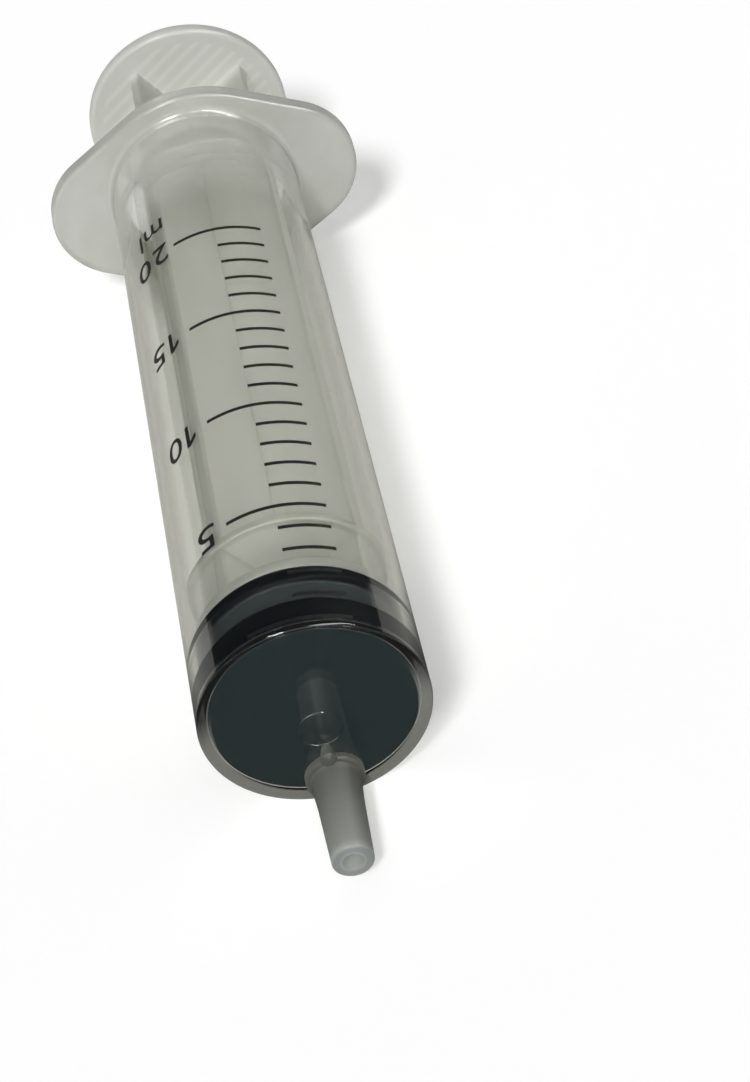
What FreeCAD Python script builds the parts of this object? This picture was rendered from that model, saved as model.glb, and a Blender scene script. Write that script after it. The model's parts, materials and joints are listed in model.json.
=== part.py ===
import FreeCAD, Part
import math
import os

import Sketcher

# Twenty millilitre syringe with an off-centre slip nozzle, lying on a flat surface.
# Every sub-part is drawn along +X: the barrel's front face is at x = 0, the nozzle points
# to -X, the thumb rest is at the +X end, and the scale faces +Z. One placement then lays
# the whole syringe down on its flange and on the front edge of its barrel.

doc = FreeCAD.newDocument("Syringe")
sheet = doc.addObject("Spreadsheet::Sheet", "Sizes")

# Driving sizes, in millimetres and degrees.
DRIVING = [
    # Barrel tube and its finger flange
    ("barrel_diameter", 21.9),
    ("wall_thickness", 1.0),
    ("front_wall", 1.2),
    ("barrel_length", 92.6),
    ("bore_corner", 0.2),
    ("front_chamfer", 0.35),
    ("flange_thickness", 2.4),
    ("rim_chamfer", 0.35),
    ("flange_height", 26.4),
    ("lobe_diameter", 16.8),
    ("lobe_offset", 10.0),
    ("junction_round", 1.0),
    ("junction_share", 0.6),
    # Bead that keeps the plunger in, and the wider mouth behind it
    ("bead_setback", 6.2),
    ("bead_height", 0.35),
    ("bead_width", 1.8),
    ("mouth_relief", 0.2),
    ("mouth_chamfer", 0.7),
    # Slip nozzle with its 6 % taper
    ("nozzle_offset", 8.0),
    ("nozzle_length", 11.3),
    ("taper_length", 7.5),
    ("taper_ratio", 0.06),
    ("tip_diameter", 3.96),
    ("tip_chamfer", 0.18),
    ("root_diameter", 5.7),
    ("root_height", 0.9),
    ("root_chamfer", 0.25),
    ("flare_diameter", 4.9),
    ("lumen_tip_diameter", 2.0),
    ("lumen_entry_diameter", 2.5),
    # Moulding gate on the front face: a pip and a ring mark
    ("gate_offset", 4.2),
    ("gate_diameter", 1.6),
    ("gate_height", 1.9),
    ("gate_chamfer", 0.2),
    ("ring_offset", 1.8),
    ("ring_diameter", 4.3),
    ("ring_width", 0.16),
    ("ring_depth", 0.1),
    # Printed scale
    ("unit_volume", 1000),
    ("mark_width", 0.42),
    ("ink_thickness", 0.05),
    ("scale_edge", 31.5),
    ("short_mark_turn", 26.5),
    ("long_mark_turn", 51.5),
    # Rubber stopper
    ("face_gap", 0.05),
    ("stopper_length", 7.9),
    ("seal_clearance", 0.03),
    ("seal_width", 1.4),
    ("face_land", 1.8),
    ("face_relief", 0.3),
    ("rear_land", 0.15),
    ("waist_relief", 0.5),
    ("seal_chamfer", 0.25),
    ("rubber_front", 2.6),
    # Plunger rod
    ("stud_clearance", 0.05),
    ("neck_diameter", 8.8),
    ("neck_length", 1.9),
    ("barb_diameter", 12.4),
    ("barb_land", 1.0),
    ("disc_gap", 0.1),
    ("front_disc_clearance", 0.35),
    ("front_disc_thickness", 1.4),
    ("disc_spacing", 5.3),
    ("stop_disc_thickness", 1.0),
    ("stop_disc_overlap", 0.15),
    ("rib_clearance", 0.2),
    ("rib_thickness", 1.3),
    ("finger_gap", 14.9),
    ("thumb_diameter", 24.4),
    ("thumb_thickness", 2.0),
    ("thumb_chamfer", 0.4),
    ("groove_pitch", 1.45),
    ("groove_width", 0.7),
    ("groove_depth", 0.35),
    ("smooth_rim", 1.4),
    ("rod_turn", 57),
]

# Sizes worked out from the driving ones.
DERIVED = [
    ("barrel_radius", "barrel_diameter / 2"),
    ("bore_radius", "barrel_radius - wall_thickness"),
    ("corner_inner", "barrel_radius - front_chamfer"),
    ("bore_corner_x", "front_wall + bore_corner"),
    ("bore_corner_r", "bore_radius - bore_corner"),
    ("flange_front", "barrel_length - flange_thickness"),
    ("flange_arc", "flange_height / 2"),
    ("lobe_radius", "lobe_diameter / 2"),
    # The round into the flange fits on the ledge that the flange leaves beyond the tube.
    ("flange_ledge", "flange_arc - barrel_radius - rim_chamfer"),
    ("junction_arc", "min(junction_round; junction_share * flange_ledge)"),
    ("junction_x", "flange_front - junction_arc"),
    ("junction_r", "barrel_radius + junction_arc"),
    ("slope_cos", "(flange_arc - lobe_radius) / lobe_offset"),
    ("slope_sin", "sqrt(1 - slope_cos ^ 2)"),
    ("arc_y", "flange_arc * slope_cos"),
    ("arc_z", "flange_arc * slope_sin"),
    ("lobe_y", "lobe_offset + lobe_radius * slope_cos"),
    ("lobe_z", "lobe_radius * slope_sin"),
    ("bead_x", "flange_front - bead_setback"),
    ("bead_front", "bead_x - bead_width / 2"),
    ("bead_rear", "bead_x + bead_width / 2"),
    ("bead_radius", "bore_radius - bead_height"),
    ("mouth_radius", "bore_radius + mouth_relief"),
    ("chamfer_x", "barrel_length - mouth_chamfer"),
    ("chamfer_radius", "mouth_radius + mouth_chamfer"),
    ("past_mouth", "barrel_length + 1"),
    ("half_wall", "front_wall / 2"),
    ("axis_z", "-nozzle_offset"),
    ("tip_radius", "tip_diameter / 2"),
    ("tip_x", "-nozzle_length"),
    ("tip_side_x", "tip_x + tip_chamfer"),
    ("tip_face_z", "axis_z + tip_radius - tip_chamfer"),
    ("tip_side_z", "axis_z + tip_radius + tip_chamfer * taper_ratio / 2"),
    ("taper_x", "tip_x + taper_length"),
    ("taper_z", "axis_z + tip_radius + taper_length * taper_ratio / 2"),
    ("root_x", "-root_height"),
    ("flare_z", "axis_z + flare_diameter / 2"),
    ("root_z", "axis_z + root_diameter / 2"),
    ("root_face_z", "root_z - root_chamfer"),
    ("root_side_x", "root_x + root_chamfer"),
    ("lumen_in_x", "front_wall + 0.5"),
    ("lumen_out_x", "tip_x - 0.5"),
    ("lumen_in_z", "axis_z + lumen_entry_diameter / 2"),
    ("lumen_out_z", "axis_z + lumen_tip_diameter / 2"),
    ("gate_z", "-gate_offset"),
    ("gate_side_z", "gate_z + gate_diameter / 2"),
    ("gate_top_z", "gate_side_z - gate_chamfer"),
    ("gate_x", "-gate_height"),
    ("gate_side_x", "gate_x + gate_chamfer"),
    ("ring_z", "-ring_offset"),
    ("ring_inner_z", "ring_z + ring_diameter / 2 - ring_width"),
    ("ring_outer_z", "ring_z + ring_diameter / 2"),
    ("ring_front_x", "-ring_depth"),
    ("mark_pitch", "unit_volume / (pi * bore_radius ^ 2)"),
    ("mark_start", "front_wall - mark_width / 2"),
    ("ink_radius", "barrel_radius + ink_thickness"),
    ("face_x", "front_wall + face_gap"),
    ("stopper_rear", "face_x + stopper_length"),
    ("seal_radius", "bore_radius - seal_clearance"),
    ("seal_land_r", "seal_radius - seal_chamfer"),
    ("face_edge_r", "seal_radius - face_relief - seal_chamfer"),
    ("face_side_r", "seal_radius - face_relief"),
    ("face_side_x", "face_x + seal_chamfer"),
    ("front_seal_x", "face_x + face_land"),
    ("front_seal_end", "front_seal_x + seal_width"),
    ("rear_seal_end", "stopper_rear - rear_land - seal_chamfer"),
    ("rear_seal_x", "rear_seal_end - seal_width"),
    ("rear_land_x", "stopper_rear - rear_land"),
    ("waist_radius", "seal_radius - waist_relief"),
    ("waist_start", "front_seal_end + seal_chamfer"),
    ("waist_end", "rear_seal_x - seal_chamfer"),
    ("stud_front", "face_x + rubber_front"),
    ("cavity_front", "stud_front - disc_gap"),
    ("front_disc_x", "stopper_rear + disc_gap"),
    ("neck_radius", "neck_diameter / 2"),
    ("neck_front", "front_disc_x - neck_length"),
    ("barb_radius", "barb_diameter / 2"),
    ("barb_rear", "neck_front - (barb_radius - neck_radius) / 4"),
    ("barb_side", "barb_rear - barb_land"),
    ("barb_tip_r", "neck_radius"),
    ("cavity_neck_r", "neck_radius + stud_clearance"),
    ("cavity_barb_r", "barb_radius + stud_clearance"),
    ("cavity_tip_r", "barb_tip_r + stud_clearance"),
    ("cavity_lip_x", "neck_front + disc_gap / 2"),
    ("cavity_rear_x", "barb_rear + disc_gap / 2"),
    ("cavity_side_x", "barb_side - disc_gap / 2"),
    ("past_rubber", "stopper_rear + 1"),
    ("front_disc_r", "bore_radius - front_disc_clearance"),
    ("front_disc_rear", "front_disc_x + front_disc_thickness"),
    ("stop_disc_x", "front_disc_rear + disc_spacing"),
    ("stop_disc_rear", "stop_disc_x + stop_disc_thickness"),
    ("stop_disc_r", "bead_radius + stop_disc_overlap"),
    ("rib_radius", "bead_radius - rib_clearance"),
    ("half_rib", "rib_thickness / 2"),
    ("thumb_front", "barrel_length + finger_gap"),
    ("thumb_rear", "thumb_front + thumb_thickness"),
    ("thumb_radius", "thumb_diameter / 2"),
    ("thumb_flat_r", "thumb_radius - thumb_chamfer"),
    ("thumb_side_front", "thumb_front + thumb_chamfer"),
    ("thumb_side_rear", "thumb_rear - thumb_chamfer"),
    ("groove_field", "thumb_radius - smooth_rim"),
    ("groove_count", "2 * floor(groove_field / groove_pitch)"),
    ("groove_right", "(groove_width - (groove_count - 1) * groove_pitch) / 2"),
    ("groove_left", "groove_right - groove_width"),
    # The syringe rests on its flange's front edge and on its barrel's front edge, so the
    # axis rises towards the thumb rest until both edges touch the surface.
    ("lay_rise", "flange_arc - barrel_radius"),
    ("lay_run", "flange_front + rim_chamfer - front_chamfer"),
    ("lay_slope", "atan(lay_rise / lay_run) / 1 deg"),
]

# Longest mark of the scale, in millilitres, and how often a mark is a long one.
CAPACITY = 20
LONG_EVERY = 5

row = 0
for alias, value in DRIVING:
    row += 1
    sheet.set("A%d" % row, alias)
    sheet.set("B%d" % row, str(value))
    sheet.setAlias("B%d" % row, alias)
for alias, formula in DERIVED:
    row += 1
    sheet.set("A%d" % row, alias)
    sheet.set("B%d" % row, "=" + formula)
    sheet.setAlias("B%d" % row, alias)
doc.recompute()


def size(alias):
    """Number that the sheet holds under an alias."""
    return float(getattr(sheet, alias))


def origin_plane(body, role):
    """Plane of the body's own origin, such as XZ_Plane."""
    return [item for item in body.Origin.OriginFeatures if item.Role == role][0]


def new_sketch(body, name, role, offset=None):
    """Sketch on a plane of the body, moved along the plane's normal by a sheet value."""
    sketch = body.newObject("Sketcher::SketchObject", name)
    sketch.AttachmentSupport = [(origin_plane(body, role), "")]
    sketch.MapMode = "FlatFace"
    if offset:
        sketch.setExpression(".AttachmentOffset.Base.z", "Sizes." + offset)
    return sketch


def arc_between(start, end, radius, side):
    """Circular arc from start to end, with its centre on the left or right of the way."""
    middle = (start + end) * 0.5
    along = end - start
    half = along.Length / 2
    normal = FreeCAD.Vector(-along.y, along.x, 0).normalize()
    reach = math.sqrt(max(radius * radius - half * half, 0))
    centre = middle + normal * (reach if side == "left" else -reach)
    first, last = (start, end) if side == "left" else (end, start)
    circle = Part.Circle(centre, FreeCAD.Vector(0, 0, 1), radius)
    first_angle = math.atan2(first.y - centre.y, first.x - centre.x)
    last_angle = math.atan2(last.y - centre.y, last.x - centre.x)
    if last_angle < first_angle:
        last_angle += 2 * math.pi
    return Part.ArcOfCircle(circle, first_angle, last_angle)


def coordinate(word):
    """Number for a corner's coordinate: 0, an alias, or an alias with a minus sign."""
    if word == "0":
        return 0.0
    if word.startswith("-"):
        return -size(word[1:])
    return size(word)


def hold(sketch, kind, geometry, point, word):
    """Ties one coordinate of a point to the sheet."""
    value = coordinate(word)
    if value == 0.0:
        other = -2 if kind == "DistanceX" else -1
        sketch.addConstraint(Sketcher.Constraint("PointOnObject", geometry, point, other))
        return
    index = sketch.addConstraint(Sketcher.Constraint(kind, -1, 1, geometry, point, value))
    sign = "-" if word.startswith("-") else ""
    sketch.setExpression("Constraints[%d]" % index, sign + "Sizes." + word.lstrip("-"))


def outline(sketch, corners):
    """Closed outline. Each corner is (x, y) or (x, y, radius, side): with a radius, the
    piece that leaves the corner is an arc with its centre on that side of the way."""
    count = len(corners)
    places = [FreeCAD.Vector(coordinate(c[0]), coordinate(c[1]), 0) for c in corners]
    starts = []
    ends = []
    for index, corner in enumerate(corners):
        start = places[index]
        end = places[(index + 1) % count]
        if len(corner) == 4:
            piece = sketch.addGeometry(arc_between(start, end, size(corner[2]), corner[3]))
            starts.append((piece, 1 if corner[3] == "left" else 2))
            ends.append((piece, 2 if corner[3] == "left" else 1))
        else:
            piece = sketch.addGeometry(Part.LineSegment(start, end))
            starts.append((piece, 1))
            ends.append((piece, 2))
    for index in range(count):
        following = (index + 1) % count
        sketch.addConstraint(Sketcher.Constraint("Coincident", *ends[index], *starts[following]))
    for index, corner in enumerate(corners):
        hold(sketch, "DistanceX", *starts[index], corner[0])
        hold(sketch, "DistanceY", *starts[index], corner[1])
        if len(corner) == 4:
            piece = starts[index][0]
            number = sketch.addConstraint(Sketcher.Constraint("Radius", piece, size(corner[2])))
            sketch.setExpression("Constraints[%d]" % number, "Sizes." + corner[2])
    return sketch


def axis_line(sketch, height):
    """Construction line along X at a height from the sheet, to turn a profile about."""
    level = size(height)
    line = Part.LineSegment(FreeCAD.Vector(0, level, 0), FreeCAD.Vector(1, level, 0))
    piece = sketch.addGeometry(line, True)
    sketch.addConstraint(Sketcher.Constraint("Horizontal", piece))
    hold(sketch, "DistanceX", piece, 1, "0")
    hold(sketch, "DistanceY", piece, 1, height)
    sketch.addConstraint(Sketcher.Constraint("Distance", piece, 1.0))
    return (sketch, ["Axis0"])


def turn(body, kind, name, corners, axis_height=None):
    """Profile in the XZ plane, turned about the X axis or about a line beside it."""
    sketch = new_sketch(body, name + "_profile", "XZ_Plane")
    outline(sketch, corners)
    feature = body.newObject("PartDesign::" + kind, name)
    feature.Profile = sketch
    feature.ReferenceAxis = axis_line(sketch, axis_height) if axis_height else (sketch, ["H_Axis"])
    feature.Angle = 360
    doc.recompute()
    return feature


def pad(body, name, sketch, length):
    """Pad towards +X, as long as a sheet value."""
    feature = body.newObject("PartDesign::Pad", name)
    feature.Profile = sketch
    feature.setExpression("Length", "Sizes." + length)
    doc.recompute()
    return feature


def circle_sketch(body, name, offset, radius):
    """Circle about the X axis, in the YZ plane moved along X."""
    sketch = new_sketch(body, name, "YZ_Plane", offset)
    ring = Part.Circle(FreeCAD.Vector(0, 0, 0), FreeCAD.Vector(0, 0, 1), size(radius))
    piece = sketch.addGeometry(ring)
    sketch.addConstraint(Sketcher.Constraint("Coincident", piece, 3, -1, 1))
    number = sketch.addConstraint(Sketcher.Constraint("Radius", piece, size(radius)))
    sketch.setExpression("Constraints[%d]" % number, "Sizes." + radius)
    return sketch


def new_body(label):
    """Empty body whose label names its file."""
    body = doc.addObject("PartDesign::Body", label)
    body.Label = label
    doc.recompute()
    return body


def build_barrel():
    """Clear barrel: tube, front wall, finger flange, nozzle and gate mark in one moulding."""
    body = new_body("barrel")

    # Solid tube with its broken front edge and the round into the flange
    turn(body, "Revolution", "tube", [
        ("0", "0"),
        ("0", "corner_inner"),
        ("front_chamfer", "barrel_radius"),
        ("junction_x", "barrel_radius", "junction_arc", "left"),
        ("flange_front", "junction_r"),
        ("barrel_length", "junction_r"),
        ("barrel_length", "0"),
    ])

    # Finger flange: a central round and two wings, joined by straight flanks
    sketch = new_sketch(body, "flange_outline", "YZ_Plane", "flange_front")
    outline(sketch, [
        ("arc_y", "arc_z", "flange_arc", "left"),
        ("-arc_y", "arc_z"),
        ("-lobe_y", "lobe_z", "lobe_radius", "left"),
        ("-lobe_y", "-lobe_z"),
        ("-arc_y", "-arc_z", "flange_arc", "left"),
        ("arc_y", "-arc_z"),
        ("lobe_y", "-lobe_z", "lobe_radius", "left"),
        ("lobe_y", "lobe_z"),
    ])
    flange = pad(body, "flange", sketch, "flange_thickness")

    # Both edges of the flange are broken all the way along its outline
    rim_edges = []
    for number, edge in enumerate(flange.Shape.Edges, 1):
        middle = edge.valueAt((edge.FirstParameter + edge.LastParameter) / 2)
        across = math.hypot(middle.y, middle.z)
        if edge.BoundBox.XLength < 0.01 and across > size("junction_r") + 0.1:
            rim_edges.append("Edge%d" % number)
    rim = body.newObject("PartDesign::Chamfer", "flange_rim")
    rim.Base = (flange, rim_edges)
    rim.setExpression("Size", "Sizes.rim_chamfer")
    doc.recompute()

    # Fine ring mark in the front face, partly under the gate pip
    turn(body, "Groove", "gate_ring", [
        ("ring_depth", "ring_inner_z"),
        ("ring_depth", "ring_outer_z"),
        ("ring_front_x", "ring_outer_z"),
        ("ring_front_x", "ring_inner_z"),
    ], "ring_z")

    # Slip nozzle below the axis: root, flare, 6 % taper and tip
    turn(body, "Revolution", "nozzle", [
        ("half_wall", "axis_z"),
        ("half_wall", "root_z"),
        ("root_side_x", "root_z"),
        ("root_x", "root_face_z"),
        ("root_x", "flare_z"),
        ("taper_x", "taper_z"),
        ("tip_side_x", "tip_side_z"),
        ("tip_x", "tip_face_z"),
        ("tip_x", "axis_z"),
    ], "axis_z")

    # Gate pip between the axis and the nozzle
    turn(body, "Revolution", "gate_pip", [
        ("half_wall", "gate_z"),
        ("half_wall", "gate_side_z"),
        ("gate_side_x", "gate_side_z"),
        ("gate_x", "gate_top_z"),
        ("gate_x", "gate_z"),
    ], "gate_z")

    # Bore: inner corner, stop bead, wider mouth and lead-in
    turn(body, "Groove", "bore", [
        ("front_wall", "0"),
        ("front_wall", "bore_corner_r"),
        ("bore_corner_x", "bore_radius"),
        ("bead_front", "bore_radius"),
        ("bead_x", "bead_radius"),
        ("bead_rear", "mouth_radius"),
        ("chamfer_x", "mouth_radius"),
        ("barrel_length", "chamfer_radius"),
        ("past_mouth", "chamfer_radius"),
        ("past_mouth", "0"),
    ])

    # Lumen through the front wall and the nozzle
    turn(body, "Groove", "lumen", [
        ("lumen_in_x", "axis_z"),
        ("lumen_in_x", "lumen_in_z"),
        ("lumen_out_x", "lumen_out_z"),
        ("lumen_out_x", "axis_z"),
    ], "axis_z")
    return body


def build_stopper():
    """Rubber stopper: flat face, two sealing ribs, waist, and a socket for the rod's barb."""
    body = new_body("stopper")
    turn(body, "Revolution", "rubber", [
        ("face_x", "0"),
        ("face_x", "face_edge_r"),
        ("face_side_x", "face_side_r"),
        ("front_seal_x", "seal_radius"),
        ("front_seal_end", "seal_radius"),
        ("waist_start", "waist_radius"),
        ("waist_end", "waist_radius"),
        ("rear_seal_x", "seal_radius"),
        ("rear_seal_end", "seal_radius"),
        ("rear_land_x", "seal_land_r"),
        ("stopper_rear", "seal_land_r"),
        ("stopper_rear", "0"),
    ])
    turn(body, "Groove", "socket", [
        ("cavity_front", "0"),
        ("cavity_front", "cavity_tip_r"),
        ("cavity_side_x", "cavity_barb_r"),
        ("cavity_rear_x", "cavity_barb_r"),
        ("cavity_lip_x", "cavity_neck_r"),
        ("past_rubber", "cavity_neck_r"),
        ("past_rubber", "0"),
    ])
    return body


def build_rod():
    """Plunger rod: barb, front disc, crossed ribs, stop disc and grooved thumb rest."""
    body = new_body("plunger_rod")
    turn(body, "Revolution", "head", [
        ("stud_front", "0"),
        ("stud_front", "barb_tip_r"),
        ("barb_side", "barb_radius"),
        ("barb_rear", "barb_radius"),
        ("neck_front", "neck_radius"),
        ("front_disc_x", "neck_radius"),
        ("front_disc_x", "front_disc_r"),
        ("front_disc_rear", "front_disc_r"),
        ("front_disc_rear", "0"),
    ])

    # Crossed ribs run from the front disc to the thumb rest
    for name, across, up in (("rib_upright", "half_rib", "rib_radius"),
                             ("rib_level", "rib_radius", "half_rib")):
        sketch = new_sketch(body, name + "_section", "YZ_Plane", "front_disc_rear")
        outline(sketch, [
            (across, up),
            ("-" + across, up),
            ("-" + across, "-" + up),
            (across, "-" + up),
        ])
        rib = body.newObject("PartDesign::Pad", name)
        rib.Profile = sketch
        rib.setExpression("Length", "Sizes.thumb_side_front - Sizes.front_disc_rear")
        doc.recompute()

    # Disc that meets the bead when the plunger is drawn right out
    pad(body, "stop_disc", circle_sketch(body, "stop_disc_edge", "stop_disc_x", "stop_disc_r"),
        "stop_disc_thickness")

    # Thumb rest: a plain core first, with its grip grooves cut right across it
    pad(body, "thumb_core", circle_sketch(body, "thumb_core_edge", "thumb_front", "groove_field"),
        "thumb_thickness")
    sketch = new_sketch(body, "groove_outline", "YZ_Plane", "thumb_rear")
    outline(sketch, [
        ("groove_right", "groove_field"),
        ("groove_left", "groove_field"),
        ("groove_left", "-groove_field"),
        ("groove_right", "-groove_field"),
    ])
    before = body.Shape.Volume
    groove = body.newObject("PartDesign::Pocket", "grip_groove")
    groove.Profile = sketch
    groove.setExpression("Length", "Sizes.groove_depth")
    doc.recompute()
    grooves = body.newObject("PartDesign::LinearPattern", "grip_grooves")
    grooves.Originals = [groove]
    grooves.Direction = (sketch, ["H_Axis"])
    grooves.Mode = "Spacing"
    grooves.setExpression("Offset", "Sizes.groove_pitch")
    grooves.setExpression("Occurrences", "Sizes.groove_count")
    body.Tip = grooves
    doc.recompute()
    if grooves.Shape.Volume >= before:
        raise SystemExit("the grip grooves cut nothing")

    # Smooth rim with broken edges closes the ends of the grooves
    turn(body, "Revolution", "thumb_rim", [
        ("thumb_front", "groove_field"),
        ("thumb_front", "thumb_flat_r"),
        ("thumb_side_front", "thumb_radius"),
        ("thumb_side_rear", "thumb_radius"),
        ("thumb_rear", "thumb_flat_r"),
        ("thumb_rear", "groove_field"),
    ])
    return body


def build_scale():
    """Printed scale: one ink line for each millilitre, longer at every fifth."""
    lines = []
    for mark in range(CAPACITY + 1):
        is_long = mark % LONG_EVERY == 0
        line = doc.addObject("Part::Cylinder", "mark_%02d" % mark)
        line.setExpression("Radius", "Sizes.ink_radius")
        line.setExpression("Height", "Sizes.mark_width")
        line.setExpression("Angle", "Sizes.long_mark_turn" if is_long else "Sizes.short_mark_turn")
        # The cylinder's axis is laid along X, and its sector starts at the scale's edge.
        along_x = FreeCAD.Rotation(FreeCAD.Vector(0, 1, 0), 90)
        start = FreeCAD.Rotation(FreeCAD.Vector(1, 0, 0), size("scale_edge"))
        back = FreeCAD.Rotation(FreeCAD.Vector(0, 0, 1), 180)
        sweep = size("long_mark_turn") if is_long else size("short_mark_turn")
        begin = FreeCAD.Rotation(FreeCAD.Vector(0, 0, 1), -sweep)
        line.Placement = FreeCAD.Placement(FreeCAD.Vector(0, 0, 0), start * along_x * back * begin)
        line.setExpression(".Placement.Base.x",
                           "Sizes.mark_start + %d * Sizes.mark_pitch" % mark)
        lines.append(line)
    rays = doc.addObject("Part::Compound", "mark_sectors")
    rays.Links = lines
    core = doc.addObject("Part::Cylinder", "mark_core")
    core.setExpression("Radius", "Sizes.barrel_radius")
    core.setExpression("Height", "Sizes.barrel_length")
    core.Placement = FreeCAD.Placement(FreeCAD.Vector(-1, 0, 0),
                                       FreeCAD.Rotation(FreeCAD.Vector(0, 1, 0), 90))
    scale = doc.addObject("Part::Cut", "scale_marks")
    scale.Base = rays
    scale.Tool = core
    scale.Label = "scale_marks"
    doc.recompute()
    return scale


barrel = build_barrel()
stopper = build_stopper()
plunger_rod = build_rod()
scale_marks = build_scale()
sub_parts = [barrel, scale_marks, stopper, plunger_rod]

# The syringe leans by the slope of its resting line. The lowest point of its front edge
# then lies at z = 0, and the middle of the whole length is put over the origin.
lean = FreeCAD.Rotation(FreeCAD.Vector(0, 1, 0), -size("lay_slope"))
rod_spin = FreeCAD.Rotation(FreeCAD.Vector(1, 0, 0), size("rod_turn"))
foot = lean.multVec(FreeCAD.Vector(size("front_chamfer"), 0, -size("barrel_radius")))
lift = -foot.z
for item in sub_parts:
    spin = lean * rod_spin if item is plunger_rod else lean
    item.Placement = FreeCAD.Placement(FreeCAD.Vector(0, 0, lift), spin)
doc.recompute()
low = min(item.Shape.optimalBoundingBox().XMin for item in sub_parts)
high = max(item.Shape.optimalBoundingBox().XMax for item in sub_parts)
for item in sub_parts:
    item.Placement = FreeCAD.Placement(FreeCAD.Vector(-(low + high) / 2, 0, lift),
                                       item.Placement.Rotation)
doc.recompute()

for item in doc.Objects:
    if "Invalid" in item.State or "Error" in item.State:
        raise SystemExit("failed object: " + item.Name + " " + str(item.State))
for item in sub_parts:
    if item.Shape.isNull() or not item.Shape.isValid():
        raise SystemExit("bad shape: " + item.Label)

os.makedirs("parts", exist_ok=True)
for item in sub_parts:
    item.Shape.exportStep("parts/" + item.Label + ".step")
    box = item.Shape.BoundBox
    print(item.Label, len(item.Shape.Solids), "solids", round(item.Shape.Volume, 2), "mm3",
          [round(v, 2) for v in (box.XMin, box.XMax, box.YMin, box.YMax, box.ZMin, box.ZMax)])
print("travel", round(size("bead_front") - size("stop_disc_rear"), 3),
      "pitch", round(size("mark_pitch"), 4), "lean", round(size("lay_slope"), 4),
      "shift", round(-(low + high) / 2, 4), "lift", round(lift, 4))
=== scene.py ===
# %% [markdown]
# # A twenty millilitre syringe with an off-centre slip nozzle
# The real object has four parts: a clear polypropylene barrel, a printed scale, a black rubber
# stopper and a milky polypropylene plunger rod. This lesson loads their plain CAD solids, and
# builds the finished surfaces over them: true rounds, a printed scale and see-through plastic.

import json
import math

import bmesh
import bpy
from mathutils import Matrix, Vector


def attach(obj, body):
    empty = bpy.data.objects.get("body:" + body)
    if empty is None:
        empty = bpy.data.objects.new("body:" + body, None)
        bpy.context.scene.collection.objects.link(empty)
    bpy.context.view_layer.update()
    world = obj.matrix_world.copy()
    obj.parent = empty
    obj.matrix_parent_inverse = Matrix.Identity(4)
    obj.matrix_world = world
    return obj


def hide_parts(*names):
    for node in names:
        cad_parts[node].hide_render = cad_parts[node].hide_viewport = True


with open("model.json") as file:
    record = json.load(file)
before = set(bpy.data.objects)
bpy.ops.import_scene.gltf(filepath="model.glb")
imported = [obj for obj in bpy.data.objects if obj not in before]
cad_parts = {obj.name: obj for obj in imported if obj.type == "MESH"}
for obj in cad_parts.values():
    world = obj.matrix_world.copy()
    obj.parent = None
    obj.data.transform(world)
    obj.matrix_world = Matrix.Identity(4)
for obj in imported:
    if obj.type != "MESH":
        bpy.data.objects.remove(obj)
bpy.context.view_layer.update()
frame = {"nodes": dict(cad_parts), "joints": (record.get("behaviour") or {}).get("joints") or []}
print("CAD nodes:", sorted(frame["nodes"]))

# %% [markdown]
# ## Two frames: the syringe's own, and the table's
# A syringe is made of turned shapes, so it is easiest to draw along its own axis: x runs from
# the barrel's front face to the thumb rest, z points at the scale, and lengths are in
# millimetres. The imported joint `rod_turn` sits at the middle of the front face and points along
# the axis. It gives the one matrix that takes a drawn piece to its place on the table.

# %% From the syringe's own frame to the table
MM = 0.001
joint = next(j for j in frame["joints"] if j["name"] == "rod_turn")
along = Vector(joint["axis"]).normalized()
across = Vector((0, 1, 0))
upward = along.cross(across)
turn = Matrix((along, across, upward)).transposed().to_4x4()
PLACE = Matrix.Translation(Vector(joint["pos_m"])) @ turn @ Matrix.Scale(MM, 4)
print("the axis rises by %.2f degrees" % math.degrees(math.asin(along.z)))

# %% [markdown]
# ## The camera
# The photograph looks along the syringe from in front and above, so the nozzle is near and the
# thumb rest far. Its place comes from fitting a camera to the scale lines and edges. The three
# directions are the camera's right, up and backward axes, drawn in the syringe's own frame.

# %% Make the camera
EYE = Vector((-167.29, -11.96, 161.99))
RIGHT = Vector((-0.1623, -0.9651, -0.2054))
UP = Vector((0.6310, -0.2615, 0.7304))
BACK = Vector((-0.7587, -0.0111, 0.6514))
IMAGE_HEIGHT = 1082
FOCAL_PIXELS = 2548.6
SENSOR = 36.0

camera_data = bpy.data.cameras.new("camera")
camera_data.sensor_width = SENSOR
camera_data.lens = FOCAL_PIXELS * SENSOR / IMAGE_HEIGHT
camera_data.clip_start = 0.01
camera_data.clip_end = 20
camera = bpy.data.objects.new("camera", camera_data)
bpy.context.scene.collection.objects.link(camera)
axes = Matrix((RIGHT, UP, BACK)).transposed()
facing = (turn.to_3x3() @ axes).to_quaternion().normalized()
camera.matrix_world = Matrix.Translation(PLACE @ EYE) @ facing.to_matrix().to_4x4()
bpy.context.scene.camera = camera
print("lens %.1f mm" % camera_data.lens)

# %% [markdown]
# ## Helpers for turned pieces
# Almost every surface here is a surface of revolution. A profile is a chain of corners, each
# with its place along the axis, its radius, and how far its rounding reaches. A vertex bevel
# rounds the corners, and a spin turns the chain into a skin. Edges that a boolean leaves are hard
# to round, so the rounds are made in the profile, where they are exact.

# %% Turn a profile
STEPS = 240
ROUND_SEGMENTS = 6


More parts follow.
